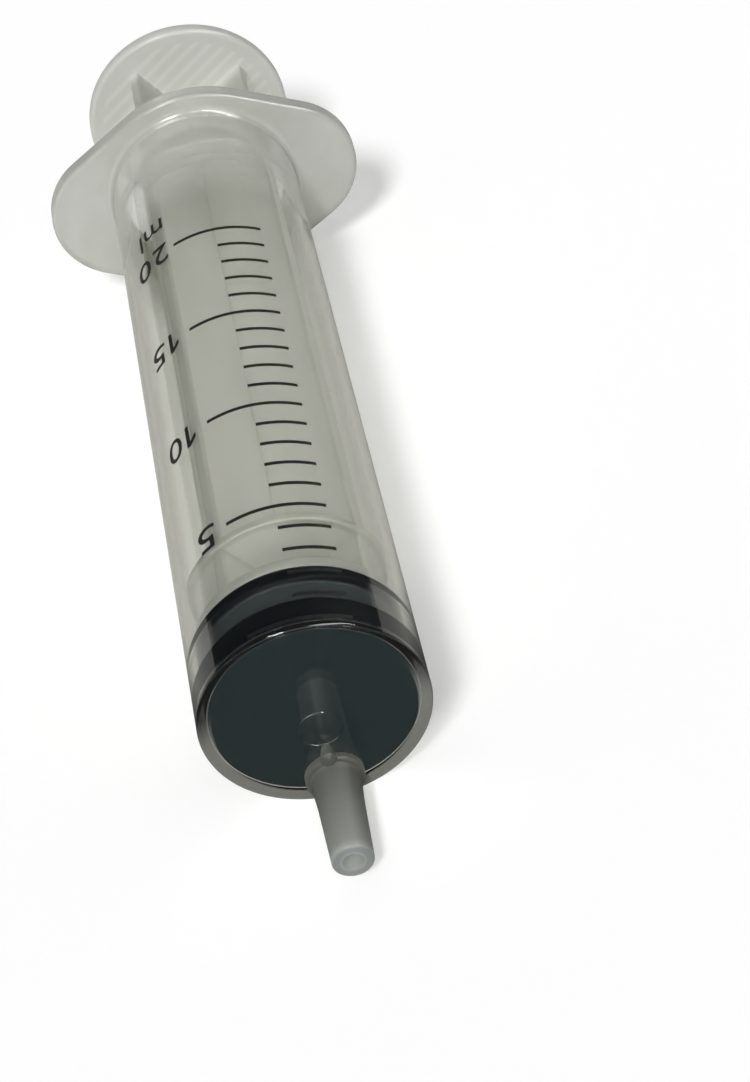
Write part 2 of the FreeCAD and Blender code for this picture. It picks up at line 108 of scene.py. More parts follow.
def turned(corners, axis_z=0.0, steps=STEPS, loop=False):
    """Skin of a profile of (x, radius, rounding) corners, turned about a line along x."""
    bm = bmesh.new()
    chain = [bm.verts.new((x, 0, axis_z + radius)) for x, radius, _ in corners]
    pairs = list(zip(chain, chain[1:]))
    if loop:
        pairs.append((chain[-1], chain[0]))
    for pair in pairs:
        bm.edges.new(pair)
    for vert, (_, _, rounding) in zip(chain, corners):
        if rounding:
            bmesh.ops.bevel(bm, geom=[vert], offset=rounding, segments=ROUND_SEGMENTS,
                            profile=0.5, affect="VERTICES", material=-1)
    bmesh.ops.spin(bm, geom=bm.verts[:] + bm.edges[:], cent=(0, 0, axis_z), axis=(1, 0, 0),
                   angle=math.tau, steps=steps, use_merge=True)
    bmesh.ops.remove_doubles(bm, verts=bm.verts[:], dist=1e-4)
    bmesh.ops.recalc_face_normals(bm, faces=bm.faces[:])
    return bm


def as_object(bm, name):
    """Object that holds a bmesh, still drawn in millimetres."""
    mesh = bpy.data.meshes.new(name)
    bm.to_mesh(mesh)
    bm.free()
    piece = bpy.data.objects.new(name, mesh)
    bpy.context.scene.collection.objects.link(piece)
    return piece


def combine(piece, tool, operation):
    """Joins or cuts one piece with another, and keeps only the result."""
    change = piece.modifiers.new("change", "BOOLEAN")
    change.operation = operation
    change.solver = "EXACT"
    change.object = tool
    seen = piece.evaluated_get(bpy.context.evaluated_depsgraph_get())
    result = bpy.data.meshes.new_from_object(seen)
    piece.modifiers.clear()
    old = piece.data
    piece.data = result
    result.name = old.name
    bpy.data.meshes.remove(old)
    bpy.data.objects.remove(tool)


def settle(piece, body, place, sharp=35):
    """Puts a finished piece in its place, shades it, and lets it ride on its body."""
    piece.data.transform(place)
    piece.data.shade_smooth()
    piece.data.set_sharp_from_angle(angle=math.radians(sharp))
    flat_faces = piece.modifiers.new("flat faces stay flat", "WEIGHTED_NORMAL")
    flat_faces.keep_sharp = True
    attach(piece, body)
    print(piece.name, len(piece.data.polygons), "faces")


# %% [markdown]
# ## The barrel
# The barrel is one injection moulding: a tube 21.9 mm across with a 1 mm wall, a front wall, a
# finger flange with two wings, and inside its mouth a low bead that keeps the plunger in. The
# whole tube is turned from one profile, with the flange first as a round plate. Then the plate's
# two rims are pushed out to the winged outline, and a bevel rounds them.

# %% Turn the tube
RADIUS = 10.95
BORE = 9.95
FLANGE_FRONT = 90.2
REAR = 92.6
FLANGE_ARC = 13.2

tube = turned([
    (0, 0, 0),
    (0, RADIUS, 0.3),
    (FLANGE_FRONT, RADIUS, 1.0),
    (FLANGE_FRONT, FLANGE_ARC, 0),
    (REAR, FLANGE_ARC, 0),
    (REAR, 10.85, 0.15),
    (91.9, 10.15, 0.25),
    (84.9, 10.15, 0.4),
    (84.0, 9.52, 0.45),
    (83.1, BORE, 0.4),
    (1.2, BORE, 0.08),
    (1.2, 0, 0),
])
print("tube:", len(tube.verts), "vertices")

# %% [markdown]
# The flange's outline is a central arc, two rounded wings and straight flanks between them. For
# each rim vertex its direction from the axis tells which of the three it belongs to, and so how
# far out it goes.

# %% Push the flange out to its wings
WING_RADIUS = 8.4
WING_OFFSET = 10.0
RIM_ROUND = 0.5
flank_turn = math.acos((FLANGE_ARC - WING_RADIUS) / WING_OFFSET)
wing_start = math.atan2(WING_RADIUS * math.sin(flank_turn),
                        WING_OFFSET + WING_RADIUS * math.cos(flank_turn))


def flange_reach(vert):
    """Distance from the axis to the outline, in the direction of a rim vertex."""
    angle = math.atan2(abs(vert.co.z), abs(vert.co.y))
    if angle >= flank_turn:
        return FLANGE_ARC
    if angle >= wing_start:
        return FLANGE_ARC / math.cos(flank_turn - angle)
    drop = WING_OFFSET * math.sin(angle)
    return WING_OFFSET * math.cos(angle) + math.sqrt(WING_RADIUS ** 2 - drop ** 2)


rim = [v for v in tube.verts if math.hypot(v.co.y, v.co.z) > FLANGE_ARC - 0.01]
for vert in rim:
    grow = flange_reach(vert) / math.hypot(vert.co.y, vert.co.z)
    vert.co.y *= grow
    vert.co.z *= grow
rim_edges = [e for e in tube.edges if all(v in rim for v in e.verts)
             and abs(e.verts[0].co.x - e.verts[1].co.x) < 0.01]
bmesh.ops.bevel(tube, geom=rim_edges, offset=RIM_ROUND, segments=ROUND_SEGMENTS,
                profile=0.5, affect="EDGES", material=-1)
barrel = as_object(tube, "barrel_moulding")
print("flange edges rounded:", len(rim_edges))

# %% [markdown]
# The slip nozzle stands below the axis, near the wall. It has a short root, a flare, and the
# standard 6 % taper down to 3.96 mm. Beside it is the gate pip, where the plastic was fed in: it
# is narrow at the wall, so that it broke off there. Above the pip is a fine ring, the mark of an
# insert in the mould. The ring is cut first, because the pip covers part of it, and the lumen
# goes through last.

# %% Ring mark, nozzle, gate pip and lumen
NOZZLE_Z = -8.0
GATE_Z = -4.2
RING_Z = -1.8
LUMEN_ROOT = 1.25
ring_cut = turned([(0.05, 2.03, 0), (0.05, 2.12, 0), (-0.1, 2.2, 0), (-0.1, 1.93, 0)],
                  axis_z=RING_Z, steps=96, loop=True)
combine(barrel, as_object(ring_cut, "ring_cut"), "DIFFERENCE")

nozzle = turned([
    (0.6, 0, 0),
    (0.6, 2.85, 0),
    (-0.9, 2.85, 0.35),
    (-0.9, 2.45, 0.12),
    (-3.8, 2.205, 0.6),
    (-11.3, 1.98, 0.25),
    (-11.3, 0, 0),
], axis_z=NOZZLE_Z, steps=96)
combine(barrel, as_object(nozzle, "nozzle"), "UNION")

pip = turned([(0.6, 0, 0), (0.6, 0.4, 0), (0, 0.4, 0.1), (-1.9, 0.85, 0.2), (-1.9, 0, 0)],
             axis_z=GATE_Z, steps=48)
combine(barrel, as_object(pip, "gate_pip"), "UNION")

lumen = turned([(1.8, 0, 0), (1.8, LUMEN_ROOT, 0), (-11.8, 1.0, 0), (-11.8, 0, 0)],
               axis_z=NOZZLE_Z, steps=64)
combine(barrel, as_object(lumen, "lumen"), "DIFFERENCE")

settle(barrel, "barrel_body", PLACE)
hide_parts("barrel")

# %% [markdown]
# ## The stopper
# The rubber stopper seals with two ribs that press on the bore, with a waist between them. Its
# flat face closes the barrel's front, and a socket in its rear grips the rod's barb. It is
# turned in one go, socket and all. The ribs reach a few micrometres into the bore's wall: where
# rubber touches the plastic there is no film of air to mirror the light, and the ribs look black
# right out to the tube's edge.

# %% Turn the stopper
SEAL = BORE + 0.005
WAIST = 9.42
WAIST_FRONT = 4.7
WAIST_REAR = 7.1
rubber = turned([
    (1.25, 0, 0),
    (1.25, 9.88, 0.1),
    (1.55, SEAL, 0.05),
    (4.45, SEAL, 0.3),
    (WAIST_FRONT, WAIST, 0.2),
    (WAIST_REAR, WAIST, 0.2),
    (7.35, SEAL, 0.3),
    (8.75, SEAL, 0.25),
    (9.0, 9.67, 0.1),
    (9.15, 9.67, 0.1),
    (9.15, 4.45, 0),
    (7.4, 4.45, 0.1),
    (6.95, 6.25, 0.2),
    (5.85, 6.25, 0.2),
    (3.75, 4.45, 0),
    (3.75, 0, 0),
])
stopper = as_object(rubber, "rubber_stopper")
settle(stopper, "stopper_body", PLACE)
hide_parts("stopper")

# %% [markdown]
# ## The plunger rod
# The rod is a second moulding in milkier polypropylene: a barb and a front disc, two crossed
# ribs, a stop disc that meets the barrel's bead, and a thumb rest with fourteen grip grooves. It
# came to lie 57 degrees turned in the barrel. The ribs are two bars, and each turned part is
# joined to them with a boolean, so that no hidden wall shows through the plastic.

# %% Ribs, discs and barb
RIB_RADIUS = 9.4
RIB_THICKNESS = 1.3
DISC_FRONT = 9.25
DISC_REAR = 10.65
THUMB_FRONT = 107.5
THUMB_REAR = 109.5
THUMB_RADIUS = 12.2


def bar(length, wide, high, middle, rounding):
    """Box with its long edges rounded."""
    bm = bmesh.new()
    bmesh.ops.create_cube(bm, size=1)
    bmesh.ops.scale(bm, verts=bm.verts[:], vec=(length, wide, high))
    bmesh.ops.translate(bm, verts=bm.verts[:], vec=middle)
    long_edges = [e for e in bm.edges if abs(e.verts[0].co.x - e.verts[1].co.x) > 0.01]
    bmesh.ops.bevel(bm, geom=long_edges, offset=rounding, segments=4, profile=0.5,
                    affect="EDGES", material=-1)
    return bm


rib_length = THUMB_FRONT - DISC_REAR + 1.0
rib_middle = (DISC_REAR + THUMB_FRONT) / 2
rod = as_object(bar(rib_length, RIB_THICKNESS, 2 * RIB_RADIUS, (rib_middle, 0, 0), 0.3),
                "plunger_moulding")
level = bar(rib_length, 2 * RIB_RADIUS, RIB_THICKNESS, (rib_middle, 0, 0), 0.3)
combine(rod, as_object(level, "level_rib"), "UNION")

head = turned([
    (3.85, 0, 0),
    (3.85, 4.4, 0.3),
    (5.9, 6.2, 0.2),
    (6.9, 6.2, 0.2),
    (7.35, 4.4, 0.1),
    (DISC_FRONT, 4.4, 0.2),
    (DISC_FRONT, 9.6, 0.3),
    (DISC_REAR, 9.6, 0.3),
    (DISC_REAR, 0, 0),
])
combine(rod, as_object(head, "head"), "UNION")
stop = turned([(15.95, 0, 0), (15.95, 9.75, 0.25), (16.95, 9.75, 0.25), (16.95, 0, 0)])
combine(rod, as_object(stop, "stop_disc"), "UNION")
thumb = turned([
    (THUMB_FRONT, 0, 0),
    (THUMB_FRONT, THUMB_RADIUS, 0.6),
    (THUMB_REAR, THUMB_RADIUS, 0.6),
    (THUMB_REAR, 0, 0),
])
combine(rod, as_object(thumb, "thumb_rest"), "UNION")

# %% [markdown]
# The grip grooves run straight across the thumb rest and end at its smooth rim. Fourteen round
# bars are trimmed to a disc first, and then cut all at once.

# %% Grip grooves
GROOVE_PITCH = 1.45
GROOVE_COUNT = 14
GROOVE_RADIUS = 0.45
GROOVE_FIELD = 10.8
grooves = bmesh.new()
for number in range(GROOVE_COUNT):
    side = (number - (GROOVE_COUNT - 1) / 2) * GROOVE_PITCH
    move = Matrix.Translation((THUMB_REAR + 0.1, side, 0))
    bmesh.ops.create_cone(grooves, cap_ends=True, segments=20, radius1=GROOVE_RADIUS,
                          radius2=GROOVE_RADIUS, depth=2 * GROOVE_FIELD + 2, matrix=move)
groove_cut = as_object(grooves, "groove_cut")
field = turned([(THUMB_REAR - 1, 0, 0), (THUMB_REAR - 1, GROOVE_FIELD, 0),
                (THUMB_REAR + 1, GROOVE_FIELD, 0), (THUMB_REAR + 1, 0, 0)])
combine(groove_cut, as_object(field, "groove_field"), "INTERSECT")
combine(rod, groove_cut, "DIFFERENCE")

ROD_TURN = math.radians(57)
settle(rod, "plunger_body", PLACE @ Matrix.Rotation(ROD_TURN, 4, "X"))
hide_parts("plunger_rod")

# %% [markdown]
# ## Numbers of the scale
# The scale is screen printed: the lines are CAD solids, and the numbers are print. Each figure
# starts as flat text made a mesh. The built-in type has a plain bar for its figure 1, so that one
# is drawn: a bar, with a flag grown from its top left edge by an extrusion.

# %% Flat figures
STROKE = 0.45


def flat_text(words, wide, high):
    """Flat text, centred and scaled to its real size in millimetres."""
    curve = bpy.data.curves.new(words, "FONT")
    curve.body = words
    curve.resolution_u = 6
    text = bpy.data.objects.new(words, curve)
    bpy.context.scene.collection.objects.link(text)
    flat = bpy.data.meshes.new_from_object(
        text.evaluated_get(bpy.context.evaluated_depsgraph_get()))
    bpy.data.objects.remove(text)
    bm = bmesh.new()
    bm.from_mesh(flat)
    bpy.data.meshes.remove(flat)
    xs = [v.co.x for v in bm.verts]
    ys = [v.co.y for v in bm.verts]
    bmesh.ops.translate(bm, verts=bm.verts[:],
                        vec=(-(min(xs) + max(xs)) / 2, -(min(ys) + max(ys)) / 2, 0))
    bmesh.ops.scale(bm, verts=bm.verts[:],
                    vec=(wide / (max(xs) - min(xs)), high / (max(ys) - min(ys)), 1))
    bmesh.ops.dissolve_limit(bm, angle_limit=0.01, verts=bm.verts[:], edges=bm.edges[:])
    return bm


def figure_one(high):
    """The figure 1, with its bar in the middle and its flag to the left."""
    bm = bmesh.new()
    bmesh.ops.create_grid(bm, x_segments=1, y_segments=1, size=0.5)
    bmesh.ops.scale(bm, verts=bm.verts[:], vec=(STROKE, high, 1))
    flag_foot = high / 2 - 1.4 * STROKE
    bmesh.ops.bisect_plane(bm, geom=bm.verts[:] + bm.edges[:] + bm.faces[:],
                           plane_co=(0, flag_foot, 0), plane_no=(0, 1, 0))
    top_left = [e for e in bm.edges if all(v.co.x < 0 and v.co.y > flag_foot - 0.01
                                           for v in e.verts)]
    made = bmesh.ops.extrude_edge_only(bm, edges=top_left)
    flag = [item for item in made["geom"] if isinstance(item, bmesh.types.BMVert)]
    bmesh.ops.translate(bm, verts=flag, vec=(-0.8, -0.85, 0))
    return bm


# %% [markdown]
# The figures of one number are laid side by side on a flat strip, as on the printing screen. The
# strip is cut into narrow bands so that it can bend, given the ink's thickness, and wrapped round
# the barrel. Its top points at the nozzle, so the scale reads from there.

# %% Print the numbers
INK = 0.045
STRIP = 0.3
BORE_AREA = math.pi * BORE ** 2
PITCH = 1000 / BORE_AREA
FIRST_MARK = 1.2
FIGURE = 3.25


def printed(name, figures, a_middle):
    """Print at a place along the barrel, from flat figures and the angles they sit at."""
    bm = bmesh.new()
    for figure, angle in figures:
        bmesh.ops.translate(figure, verts=figure.verts[:],
                            vec=(math.radians(angle) * RADIUS, 0, 0))
        flat = bpy.data.meshes.new("flat")
        figure.to_mesh(flat)
        figure.free()
        bm.from_mesh(flat)
        bpy.data.meshes.remove(flat)
    left = min(v.co.x for v in bm.verts)
    right = max(v.co.x for v in bm.verts)
    cuts = int((right - left) / STRIP)
    for number in range(1, cuts):
        bmesh.ops.bisect_plane(bm, geom=bm.verts[:] + bm.edges[:] + bm.faces[:],
                               plane_co=(left + number * (right - left) / cuts, 0, 0),
                               plane_no=(1, 0, 0))
    made = bmesh.ops.extrude_face_region(bm, geom=bm.faces[:])
    lifted = [item for item in made["geom"] if isinstance(item, bmesh.types.BMVert)]
    bmesh.ops.translate(bm, verts=lifted, vec=(0, 0, INK))
    for vert in bm.verts:
        side = -vert.co.x / RADIUS
        reach = RADIUS - 0.005 + vert.co.z
        vert.co = (a_middle - vert.co.y, -reach * math.sin(side), reach * math.cos(side))
    bmesh.ops.recalc_face_normals(bm, faces=bm.faces[:])
    piece = as_object(bm, name)
    settle(piece, "barrel_body", PLACE, sharp=30)
    return piece


print_pieces = [
    printed("number_5", [(flat_text("5", 2.2, FIGURE), 32.8)], FIRST_MARK + 5 * PITCH),
    printed("number_10", [(figure_one(FIGURE), 33.4), (flat_text("0", 2.2, FIGURE), 44.0)],
            FIRST_MARK + 10 * PITCH),
    printed("number_15", [(figure_one(FIGURE), 33.4), (flat_text("5", 2.1, FIGURE), 44.0)],
            FIRST_MARK + 15 * PITCH),
    printed("number_20", [(flat_text("2", 2.1, FIGURE), 29.8), (flat_text("0", 2.2, FIGURE), 44.0)],
            FIRST_MARK + 20 * PITCH),
    printed("unit_ml", [(flat_text("ml", 3.7, 2.95), 34.6)], 70.65),
]

# %% [markdown]
# ## Materials
# Each material is built from nodes by one small function, and its colours are sRGB hex values
# that another function turns to linear light.

# %% Helpers for materials
SMOOTH = {"interpolation_type": "SMOOTHSTEP"}


def colour(code):
    """Linear colour, with alpha, from an sRGB hex value."""
    parts = [int(code[i:i + 2], 16) / 255 for i in (1, 3, 5)]
    return tuple(p / 12.92 if p <= 0.04045 else ((p + 0.055) / 1.055) ** 2.4
                 for p in parts) + (1.0,)


def add(tree, kind, settings=None, inputs=None):
    """Adds a node, with its settings, and its inputs as values or as links from sockets. The
    setting "stops" gives the (position, hex colour) pairs of a ramp."""
    node = tree.nodes.new(kind)
    for name, value in (settings or {}).items():
        if name == "stops":
            elements = node.color_ramp.elements
            while len(elements) < len(value):
                elements.new(1.0)
            for element, (position, code) in zip(elements, value):
                element.position = position
                element.color = colour(code)
        else:
            setattr(node, name, value)
    for name, value in (inputs or {}).items():
        if isinstance(value, bpy.types.NodeSocket):
            tree.links.new(value, node.inputs[name])
        else:
            node.inputs[name].default_value = value
    return node


def new_material(name):
    """Empty material and its node tree."""
    material = bpy.data.materials.new(name)
    material.use_nodes = True
    material.node_tree.nodes.clear()
    return material, material.node_tree


def dress(piece, material):
    """Gives a piece its one material."""
    piece.data.materials.clear()
    piece.data.materials.append(material)


# %% [markdown]
# ### Where on the syringe
# A moulding is milkier where its wall is thicker, and rubber is darker where it is pressed on
# the bore. So the materials need to know the place along the syringe and the distance from its
# axis. A Mapping node takes Object coordinates back to the drawing's own frame, in millimetres.

# %% Place along the axis and distance from it
back_turn = turn.to_3x3().transposed()
back_shift = -(back_turn @ (Vector(joint["pos_m"]) / MM))


def in_drawing(tree):
    """Sockets for the drawing's own coordinates, their split, and the distance from the axis."""
    place = add(tree, "ShaderNodeTexCoord").outputs["Object"]
    own = add(tree, "ShaderNodeMapping", None,
              {"Vector": place, "Location": back_shift, "Rotation": back_turn.to_euler(),
               "Scale": (1 / MM, 1 / MM, 1 / MM)}).outputs["Vector"]
    split = add(tree, "ShaderNodeSeparateXYZ", None, {"Vector": own})
    flat = add(tree, "ShaderNodeCombineXYZ", None,
               {"Y": split.outputs["Y"], "Z": split.outputs["Z"]})
    reach = add(tree, "ShaderNodeVectorMath", {"operation": "LENGTH"}, {0: flat.outputs[0]})
    return own, split, reach.outputs["Value"]


# %% [markdown]
# ### See-through plastic
# Both mouldings are polypropylene: a body that refracts, with a share of white haze from the
# crystals in it. One function builds both. Lamps reach what is inside because shadow rays pass
# straight through, a little dimmed, as light does through the real thing.

# %% See-through plastic


def polypropylene(name, zones, clear, dim, gloss):
    """Refracting body with haze. zones makes sockets for how thick the plastic is, how rough
    and what shade. clear and dim are pairs for thin and thick plastic: the share of light that
    goes straight through, and the shade that a shadow ray takes on."""
    material, tree = new_material(name)
    own, split, reach = in_drawing(tree)
    stretched = add(tree, "ShaderNodeMapping", None, {"Vector": own, "Scale": (0.1, 1, 1)})
    flow = add(tree, "ShaderNodeTexNoise", None,
               {"Vector": stretched.outputs["Vector"], "Scale": 0.35, "Detail": 2.0})
    flow = flow.outputs["Fac"]
    depth, rough, shade = zones(tree, split, reach, flow)
    share = add(tree, "ShaderNodeMapRange", SMOOTH,
                {"Value": depth, "To Min": clear[0], "To Max": clear[1]})
    patchy = add(tree, "ShaderNodeMapRange", SMOOTH,
                 {"Value": flow, "From Min": 0.3, "From Max": 0.7, "To Min": 0.93, "To Max": 1.07})
    satin = add(tree, "ShaderNodeMath", {"operation": "MULTIPLY"},
                {0: rough, 1: patchy.outputs["Result"]})
    body = add(tree, "ShaderNodeBsdfPrincipled", None,
               {"Base Color": shade, "Roughness": satin.outputs[0], "IOR": 1.49,
                "Specular IOR Level": gloss, "Transmission Weight": share.outputs["Result"]})
    thickest = add(tree, "ShaderNodeMapRange", SMOOTH,
                   {"Value": depth, "From Min": 0.7, "From Max": 1.0})
    shadow = add(tree, "ShaderNodeMix", {"data_type": "RGBA"},
                 {0: thickest.outputs["Result"], 6: colour(dim[0]), 7: colour(dim[1])})
    through = add(tree, "ShaderNodeBsdfTransparent", None, {"Color": shadow.outputs[2]})
    path = add(tree, "ShaderNodeLightPath")
    pick = add(tree, "ShaderNodeMixShader", None, {"Fac": path.outputs["Is Shadow Ray"]})
    tree.links.new(body.outputs["BSDF"], pick.inputs[1])
    tree.links.new(through.outputs["BSDF"], pick.inputs[2])
    surface = add(tree, "ShaderNodeOutputMaterial", None, {"Surface": pick.outputs["Shader"]})
    return material, tree, surface


# %% [markdown]
# ### Clear polypropylene
# The barrel is clarified polypropylene from a polished mould: nearly clear in the thin tube and
# front wall, milky in the flange and the nozzle, where the light goes through more of it. The
# flange is satin, so that fingers do not slip. The nozzle's colour is painted shade at its root,
# dark like the black stopper behind it, and painted light towards its pale tip, with a lighter
# flare, a pale rim at the tip and a pale lumen. The lower part of the front rim is painted hazier
# and greyer, as painted light for the haze that shows where the eye looks along the wall. Near its
# mouth the tube is hazy too, and its colour there takes the flange's darker shade as painted shade.

# %% Clear polypropylene


def barrel_zones(tree, split, reach, flow):
    """Thick and satin in the nozzle and the flange, thin and polished in the tube."""
    nozzle_part = add(tree, "ShaderNodeMapRange", SMOOTH,
                      {"Value": split.outputs["X"], "From Min": -0.15, "From Max": 0.0,
                       "To Min": 1.0, "To Max": 0.0}).outputs["Result"]
    flange_part = add(tree, "ShaderNodeMapRange", SMOOTH,
                      {"Value": split.outputs["X"], "From Min": FLANGE_FRONT - 1.0,
                       "From Max": FLANGE_FRONT + 0.1}).outputs["Result"]
    mouth = add(tree, "ShaderNodeMapRange", SMOOTH,
                {"Value": split.outputs["X"], "From Min": 68.0, "From Max": 84.0,
                 "To Max": 0.65}).outputs["Result"]
    see_through = add(tree, "ShaderNodeMath", {"operation": "MULTIPLY"}, {0: nozzle_part, 1: 0.8})
    depth = add(tree, "ShaderNodeMath", {"operation": "MAXIMUM"},
                {0: see_through.outputs[0], 1: flange_part})
    depth = add(tree, "ShaderNodeMath", {"operation": "MAXIMUM"}, {0: depth.outputs[0], 1: mouth})
    # Painted light: the lower part of the front rim gets more haze and a greyer colour, for the
    # haze seen along the wall there.
    rim_x = add(tree, "ShaderNodeMapRange", SMOOTH,
                {"Value": split.outputs["X"], "From Min": 0.45, "From Max": 0.75,
                 "To Min": 1.0, "To Max": 0.0})
    rim_reach = add(tree, "ShaderNodeMapRange", SMOOTH,
                    {"Value": reach, "From Min": 9.4, "From Max": 9.7})
    lower_rim_painted_haze = add(tree, "ShaderNodeMapRange", SMOOTH,
                  {"Value": split.outputs["Z"], "From Min": 5.0, "From Max": -2.0,
                   "To Min": 0.0, "To Max": 0.6})
    rim = add(tree, "ShaderNodeMath", {"operation": "MULTIPLY"},
              {0: rim_x.outputs["Result"], 1: rim_reach.outputs["Result"]})
    rim = add(tree, "ShaderNodeMath", {"operation": "MULTIPLY"},
              {0: rim.outputs[0], 1: lower_rim_painted_haze.outputs["Result"]})
    depth = add(tree, "ShaderNodeMath", {"operation": "MAXIMUM"},
                {0: depth.outputs[0], 1: rim.outputs[0]})
    outside = add(tree, "ShaderNodeMapRange", SMOOTH,
                  {"Value": reach, "From Min": 11.7, "From Max": 12.2})
    outside = add(tree, "ShaderNodeMapRange", None,
                  {"Value": outside.outputs["Result"], "To Min": 0.65, "To Max": 1.0})
    satin = add(tree, "ShaderNodeMath", {"operation": "MULTIPLY"},
                {0: flange_part, 1: outside.outputs["Result"]})
    rough = add(tree, "ShaderNodeMapRange", None,
                {"Value": satin.outputs[0], "To Min": 0.05, "To Max": 0.25})
    rough = add(tree, "ShaderNodeMapRange", None,
                {"Value": nozzle_part, "To Min": rough.outputs["Result"], "To Max": 0.45})
    tube = add(tree, "ShaderNodeValToRGB",
               {"stops": [(0.3, "#eaeae6"), (0.7, "#e6e6e1")]}, {"Fac": flow})
    flange = add(tree, "ShaderNodeValToRGB",
                 {"stops": [(0.3, "#cbccc7"), (0.7, "#c6c7c1")]}, {"Fac": flow})
    # Painted light and shade along the nozzle: dark at the root for the stopper seen behind it,
    # pale towards the tip, lighter at the flare and at the tip's rim.
    along_nozzle = add(tree, "ShaderNodeMapRange", None,
                       {"Value": split.outputs["X"], "From Min": -11.4, "From Max": 0.0})
    nozzle_painted_light_and_shade = add(tree, "ShaderNodeValToRGB",
                       {"stops": [(0.0, "#9da2a2"), (0.01, "#a5aaaa"), (0.03, "#c4c6c1"),
                                  (0.1, "#a0a29d"), (0.55, "#7d7f7a"), (0.86, "#595b56"),
                                  (0.93, "#6e6e67"), (1.0, "#5e5e58")]},
                       {"Fac": along_nozzle.outputs["Result"]})
    section = add(tree, "ShaderNodeCombineXYZ", None,
                  {"Y": split.outputs["Y"], "Z": split.outputs["Z"]})
    from_nozzle = add(tree, "ShaderNodeVectorMath", {"operation": "SUBTRACT"},
                      {0: section.outputs[0], 1: (0, 0, NOZZLE_Z)})
    nozzle_reach = add(tree, "ShaderNodeVectorMath", {"operation": "LENGTH"},
                       {0: from_nozzle.outputs[0]})
    # Painted light: the lumen's wall is painted pale, for the light seen through the hole.
    lumen_painted_light = add(tree, "ShaderNodeMapRange", SMOOTH,
                   {"Value": nozzle_reach.outputs["Value"], "From Min": LUMEN_ROOT - 0.05,
                    "From Max": LUMEN_ROOT + 0.07, "To Min": 1.0, "To Max": 0.0})
    nozzle_painted_light_and_shade = add(tree, "ShaderNodeMix", {"data_type": "RGBA"},
                       {0: lumen_painted_light.outputs["Result"], 6: nozzle_painted_light_and_shade.outputs["Color"],
                        7: colour("#b9bdbb")})
    # Painted light: the front rim's greyer colour.
    tube = add(tree, "ShaderNodeMix", {"data_type": "RGBA"},
               {0: rim.outputs[0], 6: tube.outputs["Color"], 7: colour("#96988a")})
    # Painted shade: near its mouth the tube takes the flange's darker colour.
    flange_and_painted_mouth_shade = add(tree, "ShaderNodeMath", {"operation": "MAXIMUM"}, {0: flange_part, 1: mouth})
    shade = add(tree, "ShaderNodeMix", {"data_type": "RGBA"},
                {0: flange_and_painted_mouth_shade.outputs[0], 6: tube.outputs[2], 7: flange.outputs["Color"]})
    shade = add(tree, "ShaderNodeMix", {"data_type": "RGBA"},
                {0: nozzle_part, 6: shade.outputs[2], 7: nozzle_painted_light_and_shade.outputs[2]})
    return depth.outputs[0], rough.outputs["Result"], shade.outputs[2]


clear_plastic, tree, surface = polypropylene("clear_polypropylene", barrel_zones, (1.0, 0.5),
                                             ("#cfd0cc", "#8c8d89"), 0.4)
dress(barrel, clear_plastic)

# %% [markdown]
# Haze inside the wall shows most where the eye looks along the wall, as at the tube's edges. A
# thin scattering volume gives that by itself, without a mask. Its density is per metre, so 4 is a
# share of 0.4 % scattered in each millimetre.

# %% Haze inside the wall
haze = add(tree, "ShaderNodeVolumeScatter", None,
           {"Color": colour("#eef0e6"), "Density": 4.0, "Anisotropy": 0.0})
tree.links.new(haze.outputs["Volume"], surface.inputs["Volume"])
